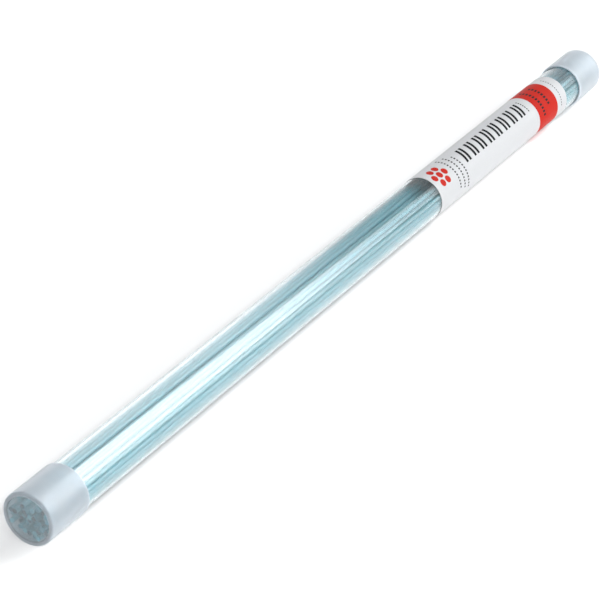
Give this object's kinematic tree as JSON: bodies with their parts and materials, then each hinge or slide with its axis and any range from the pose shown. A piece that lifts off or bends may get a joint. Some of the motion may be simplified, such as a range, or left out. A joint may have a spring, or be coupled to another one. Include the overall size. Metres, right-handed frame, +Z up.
{
  "type": "glass rod storage tube",
  "caption": "Clear plastic tube of thin aqua glass rods, with a milky push-on cap at each end and a white wrap-round label with a red band.",
  "frame": {"origin": "midway between the two caps' end faces, on the surface that the caps lie on", "axes": "+X along the tube towards the labelled end, +Z up, +Y across"},
  "size_m": [0.454, 0.0218, 0.0218],
  "materials": {
    "clear_plastic": "clear, glossy, thin-walled",
    "milky_plastic": "milky translucent, satin, moulded",
    "label_film": "glossy white film with a printed red band",
    "aqua_glass": "pulled glass rod, transparent aqua tint"
  },
  "bodies": {
    "tube": {"clear_tube": "clear_plastic", "wrap_label": "label_film"},
    "label_cap": {"label_end_cap": "milky_plastic"},
    "plain_cap": {"plain_end_cap": "milky_plastic"},
    "rod_01": {"glass_rod_01": "aqua_glass"},
    "rod_02": {"glass_rod_02": "aqua_glass"},
    "rod_03": {"glass_rod_03": "aqua_glass"},
    "rod_04": {"glass_rod_04": "aqua_glass"},
    "rod_05": {"glass_rod_05": "aqua_glass"},
    "rod_06": {"glass_rod_06": "aqua_glass"},
    "rod_07": {"glass_rod_07": "aqua_glass"},
    "rod_08": {"glass_rod_08": "aqua_glass"},
    "rod_09": {"glass_rod_09": "aqua_glass"},
    "rod_10": {"glass_rod_10": "aqua_glass"},
    "rod_11": {"glass_rod_11": "aqua_glass"},
    "rod_12": {"glass_rod_12": "aqua_glass"},
    "rod_13": {"glass_rod_13": "aqua_glass"},
    "rod_14": {"glass_rod_14": "aqua_glass"},
    "rod_15": {"glass_rod_15": "aqua_glass"},
    "rod_16": {"glass_rod_16": "aqua_glass"},
    "rod_17": {"glass_rod_17": "aqua_glass"},
    "rod_18": {"glass_rod_18": "aqua_glass"},
    "rod_19": {"glass_rod_19": "aqua_glass"},
    "rod_20": {"glass_rod_20": "aqua_glass"},
    "rod_21": {"glass_rod_21": "aqua_glass"},
    "rod_22": {"glass_rod_22": "aqua_glass"},
    "rod_23": {"glass_rod_23": "aqua_glass"},
    "rod_24": {"glass_rod_24": "aqua_glass"},
    "rod_25": {"glass_rod_25": "aqua_glass"},
    "rod_26": {"glass_rod_26": "aqua_glass"},
    "rod_27": {"glass_rod_27": "aqua_glass"},
    "rod_28": {"glass_rod_28": "aqua_glass"},
    "rod_29": {"glass_rod_29": "aqua_glass"},
    "rod_30": {"glass_rod_30": "aqua_glass"},
    "rod_31": {"glass_rod_31": "aqua_glass"},
    "rod_32": {"glass_rod_32": "aqua_glass"},
    "rod_33": {"glass_rod_33": "aqua_glass"},
    "rod_34": {"glass_rod_34": "aqua_glass"},
    "rod_35": {"glass_rod_35": "aqua_glass"},
    "rod_36": {"glass_rod_36": "aqua_glass"},
    "rod_37": {"glass_rod_37": "aqua_glass"},
    "rod_38": {"glass_rod_38": "aqua_glass"},
    "rod_39": {"glass_rod_39": "aqua_glass"},
    "rod_40": {"glass_rod_40": "aqua_glass"},
    "rod_41": {"glass_rod_41": "aqua_glass"},
    "rod_42": {"glass_rod_42": "aqua_glass"},
    "rod_43": {"glass_rod_43": "aqua_glass"},
    "rod_44": {"glass_rod_44": "aqua_glass"},
    "rod_45": {"glass_rod_45": "aqua_glass"},
    "rod_46": {"glass_rod_46": "aqua_glass"},
    "rod_47": {"glass_rod_47": "aqua_glass"}
  },
  "joints": [
    {"name": "cap_pull_label_end", "type": "slide", "parent": "tube", "child": "label_cap", "axis": [1, 0, 0], "range_m": [0, 0.03]},
    {"name": "cap_pull_plain_end", "type": "slide", "parent": "tube", "child": "plain_cap", "axis": [-1, 0, 0], "range_m": [0, 0.03]},
    {"name": "rod_slide_01", "type": "slide", "parent": "tube", "child": "rod_01", "axis": [1, 0.0006, 0.0003], "range_m": [-0.00142, 0.00538]},
    {"name": "rod_slide_02", "type": "slide", "parent": "tube", "child": "rod_02", "axis": [1, 0.0006, -0.0004], "range_m": [-0.00215, 0.00465]},
    {"name": "rod_slide_03", "type": "slide", "parent": "tube", "child": "rod_03", "axis": [1, 0.0012, 0.0003], "range_m": [-0.00577, 0.00103]},
    {"name": "rod_slide_04", "type": "slide", "parent": "tube", "child": "rod_04", "axis": [1, 0.0001, 0.0008], "range_m": [-0.0015, 0.0053]},
    {"name": "rod_slide_05", "type": "slide", "parent": "tube", "child": "rod_05", "axis": [1, 0.0009, -0.0009], "range_m": [-0.00178, 0.00502]},
    {"name": "rod_slide_06", "type": "slide", "parent": "tube", "child": "rod_06", "axis": [1, 0.0009, 0.0008], "range_m": [-0.00236, 0.00444]},
    {"name": "rod_slide_07", "type": "slide", "parent": "tube", "child": "rod_07", "axis": [1, -0.0001, -0.0007], "range_m": [-0.00028, 0.00652]},
    {"name": "rod_slide_08", "type": "slide", "parent": "tube", "child": "rod_08", "axis": [1, 0.0011, -0.0004], "range_m": [-0.00181, 0.00499]},
    {"name": "rod_slide_09", "type": "slide", "parent": "tube", "child": "rod_09", "axis": [1, 0.0003, 0.0012], "range_m": [-0.00271, 0.00409]},
    {"name": "rod_slide_10", "type": "slide", "parent": "tube", "child": "rod_10", "axis": [1, 0.0002, -0.0012], "range_m": [-0.00426, 0.00254]},
    {"name": "rod_slide_11", "type": "slide", "parent": "tube", "child": "rod_11", "axis": [1, 0.0013, 0.0012], "range_m": [-0.00011, 0.00669]},
    {"name": "rod_slide_12", "type": "slide", "parent": "tube", "child": "rod_12", "axis": [1, 0, 0], "range_m": [-0.00067, 0.00613]},
    {"name": "rod_slide_13", "type": "slide", "parent": "tube", "child": "rod_13", "axis": [1, 0.0014, -0.001], "range_m": [-0.00011, 0.0067]},
    {"name": "rod_slide_14", "type": "slide", "parent": "tube", "child": "rod_14", "axis": [1, 0.0002, 0.0018], "range_m": [-0.00444, 0.00236]},
    {"name": "rod_slide_15", "type": "slide", "parent": "tube", "child": "rod_15", "axis": [1, -0.0003, -0.0012], "range_m": [-0.00327, 0.00353]},
    {"name": "rod_slide_16", "type": "slide", "parent": "tube", "child": "rod_16", "axis": [1, 0.0018, 0.0002], "range_m": [-0.00006, 0.00674]},
    {"name": "rod_slide_17", "type": "slide", "parent": "tube", "child": "rod_17", "axis": [1, -0.0003, 0.0013], "range_m": [-0.00651, 0.00029]},
    {"name": "rod_slide_18", "type": "slide", "parent": "tube", "child": "rod_18", "axis": [1, 0.0004, -0.0017], "range_m": [-0.00629, 0.00051]},
    {"name": "rod_slide_19", "type": "slide", "parent": "tube", "child": "rod_19", "axis": [1, 0.0007, 0.0017], "range_m": [-0.00292, 0.00389]},
    {"name": "rod_slide_20", "type": "slide", "parent": "tube", "child": "rod_20", "axis": [1, -0.0016, 0], "range_m": [-0.00259, 0.00421]},
    {"name": "rod_slide_21", "type": "slide", "parent": "tube", "child": "rod_21", "axis": [1, 0.0017, -0.0005], "range_m": [-0.00022, 0.00658]},
    {"name": "rod_slide_22", "type": "slide", "parent": "tube", "child": "rod_22", "axis": [1, -0.0004, 0.0017], "range_m": [-0.00005, 0.00675]},
    {"name": "rod_slide_23", "type": "slide", "parent": "tube", "child": "rod_23", "axis": [1, -0.0002, -0.0017], "range_m": [-0.00192, 0.00488]},
    {"name": "rod_slide_24", "type": "slide", "parent": "tube", "child": "rod_24", "axis": [1, 0.0016, 0.0007], "range_m": [-0.00007, 0.00673]},
    {"name": "rod_slide_25", "type": "slide", "parent": "tube", "child": "rod_25", "axis": [1, -0.0017, 0.0002], "range_m": [-0.00029, 0.00651]},
    {"name": "rod_slide_26", "type": "slide", "parent": "tube", "child": "rod_26", "axis": [1, 0.001, -0.0014], "range_m": [-0.00044, 0.00636]},
    {"name": "rod_slide_27", "type": "slide", "parent": "tube", "child": "rod_27", "axis": [1, 0.0007, 0.002], "range_m": [-0.00006, 0.00674]},
    {"name": "rod_slide_28", "type": "slide", "parent": "tube", "child": "rod_28", "axis": [1, -0.0007, -0.0016], "range_m": [-0.00149, 0.00531]},
    {"name": "rod_slide_29", "type": "slide", "parent": "tube", "child": "rod_29", "axis": [1, 0.0022, -0.0002], "range_m": [-0.00135, 0.00545]},
    {"name": "rod_slide_30", "type": "slide", "parent": "tube", "child": "rod_30", "axis": [1, -0.0012, 0.0019], "range_m": [-0.0048, 0.002]},
    {"name": "rod_slide_31", "type": "slide", "parent": "tube", "child": "rod_31", "axis": [1, 0.0003, -0.002], "range_m": [-0.00186, 0.00495]},
    {"name": "rod_slide_32", "type": "slide", "parent": "tube", "child": "rod_32", "axis": [1, 0.0016, 0.0014], "range_m": [-0.0028, 0.004]},
    {"name": "rod_slide_33", "type": "slide", "parent": "tube", "child": "rod_33", "axis": [1, -0.0018, -0.0005], "range_m": [-0.00172, 0.00508]},
    {"name": "rod_slide_34", "type": "slide", "parent": "tube", "child": "rod_34", "axis": [1, 0.0017, -0.0012], "range_m": [-0.00299, 0.00381]},
    {"name": "rod_slide_35", "type": "slide", "parent": "tube", "child": "rod_35", "axis": [1, 0.0002, 0.0022], "range_m": [-0.00145, 0.00535]},
    {"name": "rod_slide_36", "type": "slide", "parent": "tube", "child": "rod_36", "axis": [1, -0.0007, -0.0019], "range_m": [-0.00057, 0.00623]},
    {"name": "rod_slide_37", "type": "slide", "parent": "tube", "child": "rod_37", "axis": [1, 0.0021, 0.0004], "range_m": [-0.00672, 0.00008]},
    {"name": "rod_slide_38", "type": "slide", "parent": "tube", "child": "rod_38", "axis": [1, -0.0013, 0.0014], "range_m": [-0.00669, 0.00011]},
    {"name": "rod_slide_39", "type": "slide", "parent": "tube", "child": "rod_39", "axis": [1, 0.0009, -0.0019], "range_m": [-0.00478, 0.00202]},
    {"name": "rod_slide_40", "type": "slide", "parent": "tube", "child": "rod_40", "axis": [1, 0.0012, 0.0018], "range_m": [-0.00341, 0.00339]},
    {"name": "rod_slide_41", "type": "slide", "parent": "tube", "child": "rod_41", "axis": [1, -0.002, -0.0004], "range_m": [-0.00072, 0.00609]},
    {"name": "rod_slide_42", "type": "slide", "parent": "tube", "child": "rod_42", "axis": [1, 0.002, -0.0007], "range_m": [-0.0004, 0.0064]},
    {"name": "rod_slide_43", "type": "slide", "parent": "tube", "child": "rod_43", "axis": [1, -0.0004, 0.0021], "range_m": [-0.00061, 0.00619]},
    {"name": "rod_slide_44", "type": "slide", "parent": "tube", "child": "rod_44", "axis": [1, -0.0002, -0.002], "range_m": [-0.00008, 0.00672]},
    {"name": "rod_slide_45", "type": "slide", "parent": "tube", "child": "rod_45", "axis": [1, 0.0019, 0.0009], "range_m": [-0.00398, 0.00282]},
    {"name": "rod_slide_46", "type": "slide", "parent": "tube", "child": "rod_46", "axis": [1, -0.0014, -0.0001], "range_m": [-0.00112, 0.00568]},
    {"name": "rod_slide_47", "type": "slide", "parent": "tube", "child": "rod_47", "axis": [1, 0.0013, -0.0016], "range_m": [-0.00485, 0.00195]}
  ]
}
